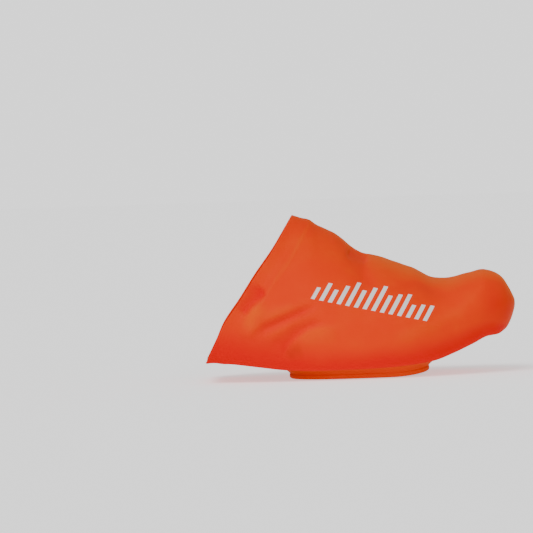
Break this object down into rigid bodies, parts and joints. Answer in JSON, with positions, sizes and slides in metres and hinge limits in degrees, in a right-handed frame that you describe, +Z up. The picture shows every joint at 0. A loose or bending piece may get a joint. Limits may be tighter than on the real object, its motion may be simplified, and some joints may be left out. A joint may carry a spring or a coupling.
{
  "type": "cycling toe cover",
  "caption": "Stretched latex toe cover for the front half of a right road cycling shoe, open at the rear edge and under the cleat.",
  "frame": {"origin": "on the floor, under the middle of the cover's length and width", "axes": "+X to the toe, +Y to the inner side of the foot, +Z up"},
  "size_m": [0.1812, 0.1012, 0.0944],
  "materials": {
    "latex": "satin"
  },
  "bodies": {
    "root": {"upper": "latex", "sole": "latex", "cleat_rim": "latex"}
  },
  "joints": []
}
